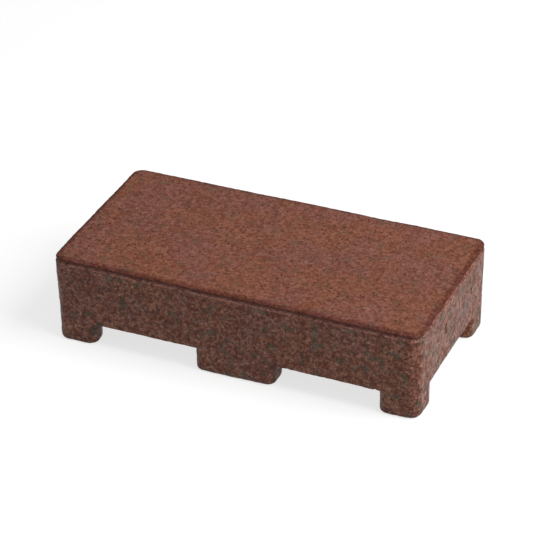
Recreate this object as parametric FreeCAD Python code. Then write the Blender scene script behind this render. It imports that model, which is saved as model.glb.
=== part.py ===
"""Composite paver: one moulded block that stands on six feet, in millimetres.

The long side runs along X and the wearing face looks up +Z. The origin is under the
middle of the block, on the level that its feet stand on.
"""
import FreeCAD, Part
import os

from FreeCAD import Vector

# Whole block
length = 200.0
width = 100.0
height = 50.0
corner_radius = 6.0          # upright corners, in plan
wall_draft = 0.7             # walls lean in by this much from the crease down to the floor

# Feet: what the block stands on, with open channels between them
foot_height = 13.3
foot_depth = 20.5            # along Y, in from a long side
corner_foot_length = 21.5    # along X, in from an end
middle_foot_length = 44.0    # along X, centred on a long side
foot_wall_radius = 5.0       # upright corner where a foot leaves a wall, in plan
corner_foot_inner_radius = 15.0   # upright corner that faces the middle of the block, in plan
middle_foot_inner_radius = 10.0   # the same on a middle foot, at both its inner corners
foot_edge_radius = 1.4       # round along a foot's bottom edge

# Rim: a crease runs all the way round, between the cap with the wearing face and the walls
cap_height = 1.8             # wearing face down to the crease
cap_inset = 0.2              # cap in from the top of the walls
cap_edge_width = 2.8         # slope along the edge of the wearing face, across
cap_edge_drop = 1.2          # the same slope, down
crease_height = 0.8
crease_depth = 1.0           # in from the top of the walls
crease_floor = height - cap_height - crease_height   # top of the walls
lip_chamfer = 0.9            # top edge of the walls, below the crease

ends = (-1, 1)               # which end, or which long side, a feature is on


def upright_edges(shape, x, y):
    """The straight edge that runs up Z at one point of the plan, as a list."""
    return [edge for edge in shape.Edges
            if edge.BoundBox.ZLength > 0.5 * shape.BoundBox.ZLength
            and abs(edge.CenterOfMass.x - x) < 0.01 and abs(edge.CenterOfMass.y - y) < 0.01]


def edges_at_height(shape, z):
    """Edges that lie wholly at one height."""
    return [edge for edge in shape.Edges
            if abs(edge.BoundBox.ZMin - z) < 1e-6 and abs(edge.BoundBox.ZMax - z) < 1e-6]


def upright_block(x_pair, y_pair, z_low, z_high, radius_at):
    """Block whose upright edges are rounded, by a radius for each corner of its plan."""
    x_low, x_high = sorted(x_pair)
    y_low, y_high = sorted(y_pair)
    block = Part.makeBox(x_high - x_low, y_high - y_low, z_high - z_low, Vector(x_low, y_low, z_low))
    for (x, y), radius in radius_at.items():
        block = block.makeFillet(radius, upright_edges(block, x, y))
    return block


def inset_block(inset, z_low, z_high):
    """The block's outline, pulled in by inset, between two heights."""
    x_reach = length / 2 - inset
    y_reach = width / 2 - inset
    radius_at = {(x_end * x_reach, y_side * y_reach): corner_radius - inset
                 for x_end in ends for y_side in ends}
    return upright_block((-x_reach, x_reach), (-y_reach, y_reach), z_low, z_high, radius_at)


def outline_wire(inset, z):
    """The block's rounded outline at one height, as a wire."""
    return Part.Wire(Part.__sortEdges__(edges_at_height(inset_block(inset, z, z + 1), z)))


def make_envelope():
    """Everything inside the leaning walls, from the floor to the crease."""
    return Part.makeLoft([outline_wire(wall_draft, 0), outline_wire(0, crease_floor)], True, True)


def make_walls(envelope):
    """Solid slab from the tops of the feet to the crease, with its top edge chamfered."""
    walls = inset_block(0, foot_height, crease_floor).common(envelope)
    return walls.makeChamfer(lip_chamfer, edges_at_height(walls, crease_floor))


def make_neck():
    """Floor of the crease, between the walls and the cap."""
    return inset_block(crease_depth, crease_floor, height - cap_height)


def make_cap():
    """Top of the block, with a slope round the edge of the wearing face."""
    rim = inset_block(cap_inset, height - cap_height, height - cap_edge_drop)
    slope = Part.makeLoft([outline_wire(cap_inset, height - cap_edge_drop),
                           outline_wire(cap_inset + cap_edge_width, height)], True, True)
    return rim.fuse(slope)


def finish_foot(foot, envelope):
    """A foot with its bottom edge rounded all the way round, trimmed to the leaning walls."""
    return foot.makeFillet(foot_edge_radius, edges_at_height(foot, 0)).common(envelope)


def make_corner_foot(x_end, y_side, envelope):
    """Foot in a corner, flush with an end and with a long side."""
    x_wall, y_wall = x_end * length / 2, y_side * width / 2
    x_inner = x_wall - x_end * corner_foot_length
    y_inner = y_wall - y_side * foot_depth
    radius_at = {(x_wall, y_wall): corner_radius,
                 (x_inner, y_wall): foot_wall_radius,
                 (x_wall, y_inner): foot_wall_radius,
                 (x_inner, y_inner): corner_foot_inner_radius}
    foot = upright_block((x_wall, x_inner), (y_wall, y_inner), 0, foot_height, radius_at)
    return finish_foot(foot, envelope)


def make_middle_foot(y_side, envelope):
    """Foot in the middle of a long side, flush with that side."""
    y_wall = y_side * width / 2
    y_inner = y_wall - y_side * foot_depth
    radius_at = {}
    for x_end in ends:
        radius_at[(x_end * middle_foot_length / 2, y_wall)] = foot_wall_radius
        radius_at[(x_end * middle_foot_length / 2, y_inner)] = middle_foot_inner_radius
    x_pair = (-middle_foot_length / 2, middle_foot_length / 2)
    foot = upright_block(x_pair, (y_wall, y_inner), 0, foot_height, radius_at)
    return finish_foot(foot, envelope)


def make_feet(envelope):
    """A foot in each corner and one in the middle of each long side."""
    corner_feet = [make_corner_foot(x_end, y_side, envelope) for x_end in ends for y_side in ends]
    return corner_feet + [make_middle_foot(y_side, envelope) for y_side in ends]


def make_paver():
    """The whole block as one solid."""
    envelope = make_envelope()
    return make_walls(envelope).fuse([make_neck(), make_cap()] + make_feet(envelope)).removeSplitter()


def main():
    os.makedirs("parts", exist_ok=True)
    make_paver().exportStep("parts/paver.step")


main()
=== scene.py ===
"""Composite paver: the moulded block, its speckled finish and a plain studio, in metres."""
import math

import bpy
from bpy.props import FloatProperty, FloatVectorProperty, IntProperty, PointerProperty
from mathutils import Matrix, Vector


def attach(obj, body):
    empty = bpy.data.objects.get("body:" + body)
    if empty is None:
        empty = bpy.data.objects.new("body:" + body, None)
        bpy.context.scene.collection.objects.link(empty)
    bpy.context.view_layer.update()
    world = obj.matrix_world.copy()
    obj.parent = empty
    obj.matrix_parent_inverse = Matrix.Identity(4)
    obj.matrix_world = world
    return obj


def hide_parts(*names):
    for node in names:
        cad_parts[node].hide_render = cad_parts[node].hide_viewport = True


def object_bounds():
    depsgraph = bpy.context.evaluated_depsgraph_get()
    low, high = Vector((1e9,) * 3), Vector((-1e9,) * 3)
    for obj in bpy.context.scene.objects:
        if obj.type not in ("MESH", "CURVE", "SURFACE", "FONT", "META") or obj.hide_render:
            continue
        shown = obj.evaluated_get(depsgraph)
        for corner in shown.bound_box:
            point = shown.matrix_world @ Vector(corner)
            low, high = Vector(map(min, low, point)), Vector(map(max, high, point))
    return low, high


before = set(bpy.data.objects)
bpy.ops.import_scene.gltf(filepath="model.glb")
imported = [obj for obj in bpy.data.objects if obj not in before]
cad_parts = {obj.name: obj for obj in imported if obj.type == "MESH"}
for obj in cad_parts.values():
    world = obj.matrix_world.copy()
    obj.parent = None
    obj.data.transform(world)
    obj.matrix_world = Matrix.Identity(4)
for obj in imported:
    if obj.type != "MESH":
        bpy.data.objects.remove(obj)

bl_info = {
    "name": "Composite paver",
    "version": (1, 0, 0),
    "blender": (4, 5, 0),
    "location": "3D View > Sidebar > Paver",
    "description": "Builds a moulded paving block with a speckled composite finish, "
                   "and a plain studio round it",
    "category": "Add Mesh",
}

MM = 0.001
CAD_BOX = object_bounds()
LOW, HIGH = Vector(CAD_BOX[0]), Vector(CAD_BOX[1])
ENDS = (-1, 1)
# The two marks in the right end: middle in Y, then low and high in Z
MARKS = ((26.2 * MM, 29.6 * MM, 34.3 * MM), (-11.3 * MM, 28.4 * MM, 34.9 * MM))
# Heights over which the painted highlight on the ledge, the painted shade in the crease and the darkening
# towards the floor change, from none to full
LEDGE_HIGHLIGHT_BAND = (45.8 * MM, 46.3 * MM)
WALL_CREASE_SHADE_BAND = (47.0 * MM, 47.3 * MM)
FACE_CREASE_SHADE_BAND = (48.5 * MM, 48.2 * MM)
LOW_DARKENING_BAND = (0.5 * MM, 5 * MM)
RIM_SHADE_WIDTH = 2.6 * MM  # painted shade in a strip round the edge of the wearing face, by the crease
# Floor: what it gives back to the block, what it shows, and the glow that is only seen
FLOOR_BOUNCE = 0.42
FLOOR_SHOWN = 0.36
FLOOR_GLOW = 0.72


def length(name, description, default_mm):
    """A size property, given in millimetres."""
    return FloatProperty(name=name, description=description, default=default_mm * MM,
                         min=0, unit="LENGTH", precision=5)


def colour(name, description, default):
    """A colour property."""
    return FloatVectorProperty(name=name, description=description, default=default,
                               size=3, min=0, max=1, subtype="COLOR")


class PaverShape(bpy.types.PropertyGroup):
    """Sizes of the moulded block."""
    corner_radius: length("Corner radius", "Upright corners of the block, in plan", 6.0)
    foot_height: length("Foot height", "Floor to the underside of the slab", 13.3)
    foot_depth: length("Foot depth", "In from a long side", 20.5)
    corner_foot_length: length("Corner foot length", "In from an end", 21.5)
    middle_foot_length: length("Middle foot length", "Along a long side", 44.0)
    foot_wall_radius: length("Foot wall radius", "Upright corner where a foot leaves a wall", 5.0)
    corner_inner_radius: length("Corner foot inner radius", "Upright corner that faces the middle", 15.0)
    middle_inner_radius: length("Middle foot inner radius", "Both upright corners that face the middle", 10.0)
    foot_edge_radius: length("Foot edge radius", "Round along a foot's bottom edge", 1.4)
    wall_draft: length("Wall draft", "How far the walls lean in, from the crease down to the floor", 0.7)
    cap_height: length("Cap height", "Wearing face down to the crease", 1.8)
    cap_inset: length("Cap inset", "Cap in from the top of the walls", 0.2)
    cap_edge_width: length("Cap edge width", "Round along the edge of the wearing face, across", 2.8)
    cap_edge_drop: length("Cap edge drop", "Round along the edge of the wearing face, down", 1.2)
    crease_height: length("Crease height", "Height of the crease between cap and walls", 0.8)
    crease_depth: length("Crease depth", "Crease in from the top of the walls", 1.0)
    lip_chamfer: length("Lip chamfer", "Top edge of the walls, below the crease", 0.9)
    voxel: length("Voxel", "Mesh size before thinning", 0.3)
    chip_depth: length("Chip depth", "Raggedness of the edges beside the crease", 1.4)
    mark_width: length("Mark width", "Two short upright marks in the right end", 1.6)
    mark_depth: length("Mark depth", "How far the marks go in", 1.6)
    triangles: IntProperty(name="Triangles", description="Most triangles after thinning",
                           default=190000, min=1000)


class PaverFinish(bpy.types.PropertyGroup):
    """Colours of the moulded compound, and the painted shade and painted highlight by the crease."""
    body: colour("Body", "Red-brown of most grains", (0.206, 0.074, 0.046))
    dark: colour("Dark grain", "Darkest grains and pits", (0.070, 0.024, 0.017))
    light: colour("Light grain", "Palest grains", (0.280, 0.165, 0.135))
    pink: colour("Pink drift", "Broad pinkish areas", (0.214, 0.080, 0.062))
    rust: colour("Rust drift", "Broad orange-brown areas", (0.228, 0.080, 0.043))
    grey: colour("Grey patch", "Grey-green patches", (0.094, 0.070, 0.043))
    wall_tint: colour("Wall tint", "Multiplies the walls' colour", (0.93, 0.90, 0.81))
    # Painted shade: the crease's shade and the cap's shadow on the ledge below it
    crease: colour("Crease", "Floor of the crease", (0.100, 0.030, 0.022))
    # Painted highlight: the light that falls on the top edge of the walls below the crease
    ledge_highlight: colour("Ledge", "Worn edge below the crease", (0.360, 0.160, 0.130))
    # Painted shade: darkens the band along the edge of the wearing face, as the crease shades it
    rim_shade_tint: colour("Rim tint", "Multiplies the colour along the edge of the wearing face",
                     (0.56, 0.44, 0.44))
    face_contrast: FloatProperty(name="Face contrast", default=0.20,
                                 description="Spread of the grains' shade, wearing face")
    wall_contrast: FloatProperty(name="Wall contrast", default=0.40,
                                 description="Spread of the grains' shade, walls")


class PaverStudio(bpy.types.PropertyGroup):
    """Camera and light."""
    azimuth: FloatProperty(name="Azimuth", description="Camera turn from the front",
                           default=math.radians(23.787), subtype="ANGLE")
    elevation: FloatProperty(name="Elevation", description="Camera height angle",
                             default=math.radians(31.86), subtype="ANGLE")
    roll: FloatProperty(name="Roll", description="Camera roll", default=math.radians(-0.826), subtype="ANGLE")
    distance: length("Distance", "Camera to its target", 1343.2)
    lens: FloatProperty(name="Lens", description="Focal length in millimetres on a 36 mm sensor",
                        default=165.87)
    ambient: FloatProperty(name="Ambient", description="World light", default=0.33)
    key: FloatProperty(name="Key light", description="Power of the key light in watts", default=20.9)


# Shape

def deselect_all():
    bpy.ops.object.select_all(action="DESELECT")


def add_block(name, x_pair, y_pair, z_pair):
    """A box primitive between two corners, with its place in its mesh."""
    deselect_all()
    low = Vector((min(x_pair), min(y_pair), min(z_pair)))
    high = Vector((max(x_pair), max(y_pair), max(z_pair)))
    bpy.ops.mesh.primitive_cube_add(size=1, location=(low + high) / 2, scale=high - low)
    block = bpy.context.object
    block.name = name
    bpy.ops.object.transform_apply(location=True, rotation=True, scale=True)
    return block


def select_edges(block, wanted):
    """Select, in edit mode, the edges whose two ends pass a test."""
    bpy.ops.object.mode_set(mode="EDIT")
    bpy.ops.mesh.select_mode(type="EDGE")
    bpy.ops.mesh.select_all(action="DESELECT")
    bpy.ops.object.mode_set(mode="OBJECT")
    vertices = block.data.vertices
    for edge in block.data.edges:
        start, end = (vertices[i].co for i in edge.vertices)
        edge.select = wanted(start, end)
    bpy.ops.object.mode_set(mode="EDIT")


def bevel_edges(block, wanted, radius, segments):
    """Round the edges that pass a test."""
    select_edges(block, wanted)
    bpy.ops.mesh.bevel(offset=radius, offset_type="OFFSET", segments=segments, profile=0.5, affect="EDGES")
    bpy.ops.object.mode_set(mode="OBJECT")


def round_upright(block, x, y, radius, segments=10):
    """Round the upright edge at one point of the plan."""
    def upright(start, end):
        return all(abs(v.x - x) < 1e-6 and abs(v.y - y) < 1e-6 for v in (start, end))
    bevel_edges(block, upright, radius, segments)


def round_level(block, z, radius, segments):
    """Round, or chamfer with one segment, all edges at one height."""
    def level(start, end):
        return all(abs(v.z - z) < 1e-6 for v in (start, end))
    bevel_edges(block, level, radius, segments)


def add_inset_block(name, inset, z_pair, corner_radius):
    """The block's outline, pulled in by inset, between two heights."""
    x_reach, y_reach = HIGH.x - inset, HIGH.y - inset
    block = add_block(name, (-x_reach, x_reach), (-y_reach, y_reach), z_pair)
    for x_end in ENDS:
        for y_side in ENDS:
            round_upright(block, x_end * x_reach, y_side * y_reach, corner_radius - inset)
    return block


def cut_marks(walls, shape):
    """Sink the two short upright marks into the right end."""
    for y_middle, *z_pair in MARKS:
        x_pair = (HIGH.x - shape.mark_depth, HIGH.x + MM)
        y_pair = (y_middle - shape.mark_width / 2, y_middle + shape.mark_width / 2)
        mark = add_block("mark", x_pair, y_pair, z_pair)
        apply_modifier(walls, "BOOLEAN", operation="DIFFERENCE", object=mark, solver="EXACT")
        bpy.data.objects.remove(mark)


def add_slab(shape):
    """Walls, crease and cap, as blocks that run into each other."""
    crease_top = HIGH.z - shape.cap_height
    crease_floor = crease_top - shape.crease_height
    walls = add_inset_block("walls", 0, (shape.foot_height, crease_floor), shape.corner_radius)
    round_level(walls, crease_floor, shape.lip_chamfer, 1)
    cut_marks(walls, shape)
    neck = add_inset_block("neck", shape.crease_depth, (crease_floor - 2 * MM, crease_top + MM),
                           shape.corner_radius)
    return [walls, neck, add_cap(shape, crease_top)]


def add_cap(shape, crease_top):
    """Top of the block. Its edge is rounded as part of a tall block, which is then pressed flat."""
    press = shape.cap_edge_drop / shape.cap_edge_width
    tall = HIGH.z + (HIGH.z - crease_top) / press - (HIGH.z - crease_top)
    cap = add_inset_block("cap", shape.cap_inset, (crease_top, tall), shape.corner_radius)
    round_level(cap, tall, shape.cap_edge_width, 8)
    bpy.ops.object.mode_set(mode="EDIT")
    bpy.ops.mesh.select_all(action="SELECT")
    bpy.ops.transform.resize(value=(1, 1, press), center_override=(0, 0, crease_top))
    bpy.ops.object.mode_set(mode="OBJECT")
    return cap


def add_foot(shape, x_wall, x_inner, y_side, middle):
    """One foot, rounded in plan and along its bottom edge, run up into the slab."""
    y_wall = y_side * HIGH.y
    y_inner = y_wall - y_side * shape.foot_depth
    foot = add_block("foot", (x_wall, x_inner), (y_wall, y_inner), (0, shape.foot_height + 2 * MM))
    inner_radius = shape.middle_inner_radius if middle else shape.corner_inner_radius
    round_upright(foot, x_wall, y_wall, shape.foot_wall_radius if middle else shape.corner_radius)
    round_upright(foot, x_inner, y_wall, shape.foot_wall_radius)
    round_upright(foot, x_wall, y_inner, inner_radius if middle else shape.foot_wall_radius)
    round_upright(foot, x_inner, y_inner, inner_radius)
    round_level(foot, 0, shape.foot_edge_radius, 4)
    return foot


def add_feet(shape):
    """A foot in each corner and one in the middle of each long side."""
    half = shape.middle_foot_length / 2
    feet = []
    for y_side in ENDS:
        feet.append(add_foot(shape, -half, half, y_side, middle=True))
        for x_end in ENDS:
            x_wall = x_end * HIGH.x
            feet.append(add_foot(shape, x_wall, x_wall - x_end * shape.corner_foot_length,
                                 y_side, middle=False))
    return feet


def join(blocks, name):
    """Join blocks into one object."""
    deselect_all()
    for block in blocks:
        block.select_set(True)
    bpy.context.view_layer.objects.active = blocks[0]
    bpy.ops.object.join()
    blocks[0].name = name
    return blocks[0]


def apply_modifier(piece, kind, **settings):
    """Add a modifier, set it up and apply it."""
    modifier = piece.modifiers.new(kind.lower(), kind)
    for key, value in settings.items():
        setattr(modifier, key, value)
    deselect_all()
    piece.select_set(True)
    bpy.context.view_layer.objects.active = piece
    bpy.ops.object.modifier_apply(modifier=modifier.name)


def cloud_texture(name, size, depth):
    """Soft noise whose lumps are about one size across."""
    texture = bpy.data.textures.new(name, "CLOUDS")
    texture.noise_scale = size
    texture.noise_depth = depth
    return texture


def pit_texture(name, spacing, width):
    """Scattered round pits: black in a pit and white round it."""
    texture = bpy.data.textures.new(name, "VORONOI")
    texture.noise_scale = spacing
    texture.use_color_ramp = True
    ramp = texture.color_ramp
    ramp.elements[0].position = 0
    ramp.elements[0].color = (0, 0, 0, 1)
    ramp.elements[1].position = width
    ramp.elements[1].color = (1, 1, 1, 1)
    return texture


def lean_walls(piece, shape):
    """Draw the sides in towards the floor, as the mould's draft leaves them."""
    lip = HIGH.z - shape.cap_height - shape.crease_height - shape.lip_chamfer
    for vertex in piece.data.vertices:
        share = shape.wall_draft * max(0, 1 - vertex.co.z / lip)
        vertex.co.x *= 1 - share / HIGH.x
        vertex.co.y *= 1 - share / HIGH.y


def group_vertices(piece, name, wanted):
    """Put the vertices whose place passes a test in a vertex group."""
    chosen = [vertex.index for vertex in piece.data.vertices if wanted(vertex.co)]
    piece.vertex_groups.new(name=name).add(chosen, 1, "REPLACE")


def chip_rim(piece, shape):
    """Make the edges either side of the crease ragged."""
    low = HIGH.z - shape.cap_height - shape.crease_height - shape.lip_chamfer
    high = HIGH.z - shape.cap_height + 0.5 * MM
    group_vertices(piece, "rim", lambda at: low < at.z < high)
    apply_modifier(piece, "DISPLACE", texture=cloud_texture("chips", 2.2 * MM, 2),
                   strength=shape.chip_depth, mid_level=0.65, vertex_group="rim")
    piece.vertex_groups.clear()


def roughen(piece):
    """Moulded unevenness: a broad wave, small lumps and pits."""
    apply_modifier(piece, "DISPLACE", texture=cloud_texture("wave", 28 * MM, 1),
                   strength=0.5 * MM, mid_level=0.5)
    apply_modifier(piece, "DISPLACE", texture=cloud_texture("lumps", 3.2 * MM, 2),
                   strength=0.35 * MM, mid_level=0.5)
    apply_modifier(piece, "DISPLACE", texture=pit_texture("pits", 5 * MM, 0.22),
                   strength=0.45 * MM, mid_level=1.0)


def fit_to_box(piece):
    """Stretch the piece by a hair so that it fills the block's own box."""
    corners = [vertex.co for vertex in piece.data.vertices]
    low = Vector(min(co[i] for co in corners) for i in range(3))
    high = Vector(max(co[i] for co in corners) for i in range(3))
    stretch = Vector((HIGH[i] - LOW[i]) / (high[i] - low[i]) for i in range(3))
    piece.scale = stretch
    piece.location = Vector(LOW[i] - low[i] * stretch[i] for i in range(3))
    deselect_all()
    piece.select_set(True)
    bpy.ops.object.transform_apply(location=True, rotation=True, scale=True)


def thin(piece, shape):
    """Bring the mesh under a number of triangles, sparing the rim and the marks."""
    rim_low = HIGH.z - shape.cap_height - shape.crease_height - shape.lip_chamfer - 0.4 * MM
    rim_in = shape.cap_inset + shape.cap_edge_width

    def in_mark(at):
        return at.x > HIGH.x - 3 * MM and any(
            abs(at.y - y) < 2 * MM and low < at.z < high for y, low, high in MARKS)

    def plain(at):
        inside_rim = max(abs(at.x) - HIGH.x, abs(at.y) - HIGH.y) < -rim_in
        return not in_mark(at) and (at.z < rim_low or inside_rim)

    group_vertices(piece, "plain", plain)
    apply_modifier(piece, "TRIANGULATE")
    apply_modifier(piece, "DECIMATE", decimate_type="COLLAPSE", vertex_group="plain", vertex_group_factor=0.4,
                   ratio=min(1, shape.triangles / len(piece.data.polygons)))
    piece.vertex_groups.clear()


# Finish

class Graph:
    """A material's nodes, added and linked by short calls."""

    def __init__(self, name, shares=(1, 1, 1)):
        self.shares = shares
        self.material = bpy.data.materials.new(name)
        self.material.use_nodes = True
        self.nodes = self.material.node_tree.nodes
        self.links = self.material.node_tree.links
        self.nodes.clear()

    def add(self, kind, inputs=None, **settings):
        node = self.nodes.new(kind)
        for key, value in settings.items():
            setattr(node, key, value)
        for key, value in (inputs or {}).items():
            if isinstance(value, bpy.types.NodeSocket):
                self.links.new(value, node.inputs[key])
            else:
                node.inputs[key].default_value = value
        return node

    def noise(self, at, size, detail=2.0, roughness=0.5):
        """Noise, 0 to 1, with features about one size across."""
        return self.add("ShaderNodeTexNoise", {"Vector": at, "Scale": 1 / size, "Detail": detail,
                                               "Roughness": roughness}).outputs["Fac"]

    def cells(self, at, size):
        """Voronoi cells of one size: distance from the middle, and a random colour."""
        node = self.add("ShaderNodeTexVoronoi", {"Vector": at, "Scale": 1 / size})
        return node.outputs["Distance"], node.outputs["Color"]

    def ramp(self, value, low, high, to_low=0.0, to_high=1.0):
        """Map low..high to to_low..to_high, smoothly and clamped."""
        return self.add("ShaderNodeMapRange", {"Value": value, "From Min": low, "From Max": high,
                                               "To Min": to_low, "To Max": to_high},
                        interpolation_type="SMOOTHSTEP").outputs["Result"]

    def shade(self, tone, value, low, high, spread):
        """Darken a tone at low and lighten it at high, by a spread for each of red, green and blue."""
        span = [spread * share for share in self.shares]
        shades = ([1 - part for part in span], [1 + part for part in span])
        return self.mix(1.0, tone, self.mix(self.ramp(value, low, high), *shades), "MULTIPLY")

    def maths(self, operation, first, second):
        return self.add("ShaderNodeMath", {0: first, 1: second}, operation=operation).outputs[0]

    def mix(self, factor, first, second, blend="MIX"):
        """Mix two colours."""
        node = self.add("ShaderNodeMix", data_type="RGBA", blend_type=blend)
        for socket, value in ((node.inputs[0], factor), (node.inputs[6], first), (node.inputs[7], second)):
            if isinstance(value, bpy.types.NodeSocket):
                self.links.new(value, socket)
            else:
                socket.default_value = (*value, 1) if hasattr(value, "__len__") else value
        return node.outputs[2]


def rim_shade_mask(graph, place, at, width):
    """How much painted shade the rim gets from the crease: most along the ends, less along the long sides,
    with a ragged border.
    """
    stray = graph.maths("MULTIPLY", graph.maths("SUBTRACT", graph.noise(at, 2.0 * MM, 3.0, 0.6), 0.5), 6 * MM)
    masks = []
    for axis, reach, amount in (("X", HIGH.x, 1.0), ("Y", HIGH.y, 0.85)):
        gap = graph.maths("SUBTRACT", graph.maths("ABSOLUTE", place.outputs[axis], 0), reach)
        masks.append(graph.ramp(graph.maths("ADD", gap, stray), -width - 1.5 * MM, -width + MM, 0, amount))
    return graph.maths("MAXIMUM", *masks)


def speckle(graph, at, finish, wall):
    """Colour of the compound: drifting red-browns, grains, dark flecks and grey patches."""
    drift = graph.ramp(graph.noise(at, 20 * MM, 2.0), 0.38, 0.62)
    tone = graph.mix(0.40, graph.mix(drift, finish.rust, finish.pink), finish.body)

    _, random = graph.cells(at, 1.5 * MM)
    grain = graph.add("ShaderNodeSeparateColor", {"Color": random})
    span = finish.wall_contrast if wall else finish.face_contrast
    tone = graph.shade(tone, grain.outputs[0], 0, 1, span)
    light = graph.ramp(grain.outputs[1], 0.86, 1.0)
    tone = graph.mix(graph.maths("MULTIPLY", light, 0.35), tone, finish.light)

    patch = graph.ramp(graph.noise(at, 7 * MM, 3.0, 0.55), 0.54, 0.64)
    tone = graph.mix(graph.maths("MULTIPLY", patch, 0.80 if wall else 0.32), tone, finish.grey)
    blotch = graph.ramp(graph.noise(at, 2.6 * MM, 3.0, 0.6), 0.54, 0.68)
    tone = graph.mix(graph.maths("MULTIPLY", blotch, 0.85 if wall else 0.40), tone, finish.dark)
    distance, random = graph.cells(at, 2.6 * MM)
    chosen = graph.ramp(graph.add("ShaderNodeSeparateColor", {"Color": random}).outputs[0], 0.45, 0.70)
    fleck = graph.maths("MULTIPLY", chosen, graph.ramp(distance, *((0.42, 0.20) if wall else (0.34, 0.16))))
    tone = graph.mix(graph.maths("MULTIPLY", fleck, 1.0 if wall else 0.85), tone, finish.dark)

    fine = graph.noise(at, 0.9 * MM, 2.0, 0.6)
    return graph.shade(tone, fine, 0.3, 0.7, span), fine


def composite_material(name, finish, wall):
    """Speckled compound of red-brown grains, for the walls or for the wearing face, with painted shade by the
    crease and a painted highlight on the ledge.
    """
    graph = Graph(name, (1.0, 1.65, 2.1) if wall else (1.0, 1.4, 1.65))
    at = graph.add("ShaderNodeTexCoord").outputs["Object"]
    place = graph.add("ShaderNodeSeparateXYZ", {"Vector": at})
    tone, fine = speckle(graph, at, finish, wall)
    relief = graph.maths("ADD", graph.maths("MULTIPLY", fine, 0.5), graph.noise(at, 1.8 * MM, 3.0, 0.6))
    if wall:
        tall = graph.add("ShaderNodeVectorMath", {0: at, 1: (1, 1, 0.6)}, operation="MULTIPLY").outputs[0]
        normal = graph.add("ShaderNodeNewGeometry").outputs["Normal"]
        facing = graph.add("ShaderNodeSeparateXYZ", {"Vector": normal})
        across = graph.maths("ABSOLUTE", facing.outputs["X"], 0)
        streak = graph.noise(graph.mix(graph.ramp(across, 0.3, 0.8), at, tall), 2.4 * MM, 3.0, 0.6)
        tone = graph.shade(tone, streak, 0.35, 0.65, 0.13)
        tone = graph.mix(1.0, tone, finish.wall_tint, "MULTIPLY")
        # Painted highlight on the ledge below the crease, where light from above falls, on the long sides
        # only
        ledge_glint = graph.maths("MULTIPLY", graph.ramp(place.outputs["Z"], *LEDGE_HIGHLIGHT_BAND),
                           graph.ramp(streak, 0.32, 0.58, 0.15, 1))
        ledge_glint = graph.maths("MULTIPLY", ledge_glint, graph.ramp(across, 0.3, 0.6, 1, 0.1))
        tone = graph.mix(ledge_glint, tone, finish.ledge_highlight)
        # Painted shade in the crease and the cap's shadow on the top of the walls
        tone = graph.mix(graph.ramp(place.outputs["Z"], *WALL_CREASE_SHADE_BAND, 0, 0.75), tone, finish.crease)
        # Darker towards the bottom of the feet
        low_darkening = graph.ramp(place.outputs["Z"], *LOW_DARKENING_BAND, 0.40, 0)
        tone = graph.mix(low_darkening, tone, finish.dark)
        sheen = graph.ramp(streak, 0.35, 0.65)
        gloss = 0.34
    else:
        # Painted shade along the edge of the wearing face, next to the crease
        rim = rim_shade_mask(graph, place, at, RIM_SHADE_WIDTH)
        tone = graph.mix(rim, tone, graph.mix(1.0, tone, finish.rim_shade_tint, "MULTIPLY"))
        # Painted shade in the crease, on the lowest part of the cap
        tone = graph.mix(graph.ramp(place.outputs["Z"], *FACE_CREASE_SHADE_BAND, 0, 0.60), tone, finish.crease)
        sheen = graph.ramp(fine, 0.3, 0.7)
        gloss = 0.2
    bump = graph.add("ShaderNodeBump", {"Height": relief, "Strength": 0.6 if wall else 0.7,
                                        "Distance": 0.5 * MM}).outputs["Normal"]
    roughness = graph.ramp(sheen, 0, 1, *((0.62, 0.40) if wall else (0.95, 0.80)))
    shader = graph.add("ShaderNodeBsdfPrincipled", {"Base Color": tone, "Roughness": roughness,
                                                    "Normal": bump, "Specular IOR Level": gloss})
    graph.add("ShaderNodeOutputMaterial", {"Surface": shader.outputs[0]})
    return graph.material


def paint(piece, finish, crease_middle):
    """Give the cap and the walls their materials, split at the crease."""
    piece.data.materials.clear()
    piece.data.materials.append(composite_material("moulded_wall", finish, wall=True))
    piece.data.materials.append(composite_material("wearing_face", finish, wall=False))
    for face in piece.data.polygons:
        face.material_index = int(face.center.z > crease_middle)


class PAVER_OT_block(bpy.types.Operator):
    """Build the moulded block and give it its speckled finish"""
    bl_idname = "paver.block"
    bl_label = "Paver block"

    def execute(self, context):
        shape, finish = context.scene.paver_shape, context.scene.paver_finish
        piece = join(add_slab(shape) + add_feet(shape), "paver_block")
        apply_modifier(piece, "REMESH", mode="VOXEL", voxel_size=shape.voxel, use_smooth_shade=True)
        lean_walls(piece, shape)
        chip_rim(piece, shape)
        roughen(piece)
        thin(piece, shape)
        fit_to_box(piece)
        paint(piece, finish, HIGH.z - shape.cap_height - shape.crease_height / 2)
        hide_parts("paver")
        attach(piece, "root")
        return {"FINISHED"}


# Studio

def floor_material():
    """White floor that keeps the block's shadow, with less bounce than it shows, and clear from below."""
    graph = Graph("studio_floor")
    path = graph.add("ShaderNodeLightPath")
    through = graph.maths("MAXIMUM", path.outputs["Is Glossy Ray"], path.outputs["Is Transmission Ray"])
    seen = graph.maths("MAXIMUM", path.outputs["Is Camera Ray"], through)
    tint = graph.mix(seen, (FLOOR_BOUNCE,) * 3, (FLOOR_SHOWN,) * 3)
    lit = graph.add("ShaderNodeBsdfDiffuse", {"Color": tint})
    strength = graph.maths("MULTIPLY", seen, FLOOR_GLOW)
    glow = graph.add("ShaderNodeEmission", {"Color": (1, 1, 1, 1), "Strength": strength})
    both = graph.add("ShaderNodeAddShader", {0: lit.outputs[0], 1: glow.outputs[0]})
    below = graph.add("ShaderNodeNewGeometry").outputs["Backfacing"]
    clear = graph.add("ShaderNodeBsdfTransparent")
    sided = graph.add("ShaderNodeMixShader", {0: below, 1: both.outputs[0], 2: clear.outputs[0]})
    graph.add("ShaderNodeOutputMaterial", {"Surface": sided.outputs[0]})
    return graph.material


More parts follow.
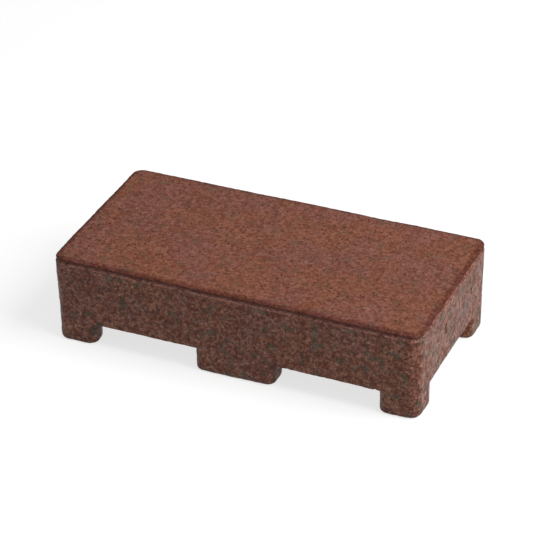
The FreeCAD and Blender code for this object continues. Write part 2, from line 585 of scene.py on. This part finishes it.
def add_world(ambient):
    """Even light all round, seen as white."""
    world = bpy.data.worlds.new("studio_world")
    bpy.context.scene.world = world
    world.use_nodes = True
    nodes, links = world.node_tree.nodes, world.node_tree.links
    nodes.clear()
    path = nodes.new("ShaderNodeLightPath")
    either = nodes.new("ShaderNodeMath")
    either.operation = "MAXIMUM"
    links.new(path.outputs["Is Camera Ray"], either.inputs[0])
    links.new(path.outputs["Is Transmission Ray"], either.inputs[1])
    strength = nodes.new("ShaderNodeMapRange")
    links.new(either.outputs[0], strength.inputs["Value"])
    strength.inputs["To Min"].default_value = ambient
    strength.inputs["To Max"].default_value = 1
    background = nodes.new("ShaderNodeBackground")
    links.new(strength.outputs["Result"], background.inputs["Strength"])
    background.inputs["Color"].default_value = (1, 1, 1, 1)
    output = nodes.new("ShaderNodeOutputWorld")
    links.new(background.outputs[0], output.inputs[0])


def add_light(name, direction, distance, size, power):
    """Square soft light that looks at the block."""
    lamp = bpy.data.lights.new(name, "AREA")
    lamp.size = size
    lamp.energy = power
    light = bpy.data.objects.new(name, lamp)
    bpy.context.scene.collection.objects.link(light)
    light.location = Vector(direction).normalized() * distance
    light.rotation_euler = light.location.to_track_quat("Z", "Y").to_euler()


def add_camera(studio):
    """Long lens, from the front right and above."""
    target = Vector((-23.96 * MM, 53.38 * MM, 0))
    away = Vector((math.sin(studio.azimuth) * math.cos(studio.elevation),
                   -math.cos(studio.azimuth) * math.cos(studio.elevation),
                   math.sin(studio.elevation)))
    camera = bpy.data.objects.new("camera", bpy.data.cameras.new("camera"))
    bpy.context.scene.collection.objects.link(camera)
    camera.location = target + away * studio.distance
    turn = away.to_track_quat("Z", "Y").to_matrix().to_4x4()
    camera.rotation_euler = (turn @ Matrix.Rotation(studio.roll, 4, "Z")).to_euler()
    camera.data.lens = studio.lens
    camera.data.sensor_width = 36
    camera.data.clip_end = 50
    bpy.context.scene.camera = camera


class PAVER_OT_studio(bpy.types.Operator):
    """Set up the floor, the soft light and the camera"""
    bl_idname = "paver.studio"
    bl_label = "Studio"

    def execute(self, context):
        studio = context.scene.paver_studio
        deselect_all()
        bpy.ops.mesh.primitive_plane_add(size=12, location=(0, 0, LOW.z))
        floor = context.object
        floor.name = "studio_floor"
        bpy.ops.object.transform_apply(location=True, rotation=True, scale=True)
        floor.data.materials.append(floor_material())
        add_world(studio.ambient)
        add_light("key_light", direction=(0.66, 0.0, 0.75), distance=1.5, size=0.9, power=studio.key)
        add_camera(studio)
        context.scene.view_settings.view_transform = "Standard"
        return {"FINISHED"}


class PAVER_PT_panel(bpy.types.Panel):
    """Lists the pieces and their settings"""
    bl_idname = "PAVER_PT_panel"
    bl_label = "Composite paver"
    bl_space_type = "VIEW_3D"
    bl_region_type = "UI"
    bl_category = "Paver"

    def draw(self, context):
        for group in (context.scene.paver_shape, context.scene.paver_finish, context.scene.paver_studio):
            for name in group.__annotations__:
                self.layout.prop(group, name)
        for operator in (PAVER_OT_block, PAVER_OT_studio):
            self.layout.operator(operator.bl_idname)


CLASSES = (PaverShape, PaverFinish, PaverStudio, PAVER_OT_block, PAVER_OT_studio, PAVER_PT_panel)


def register():
    for cls in CLASSES:
        bpy.utils.register_class(cls)
    bpy.types.Scene.paver_shape = PointerProperty(type=PaverShape)
    bpy.types.Scene.paver_finish = PointerProperty(type=PaverFinish)
    bpy.types.Scene.paver_studio = PointerProperty(type=PaverStudio)


def unregister():
    del bpy.types.Scene.paver_shape
    del bpy.types.Scene.paver_finish
    del bpy.types.Scene.paver_studio
    for cls in reversed(CLASSES):
        bpy.utils.unregister_class(cls)


def main():
    register()
    bpy.ops.paver.block()
    bpy.ops.paver.studio()


if __name__ == "__main__":
    main()
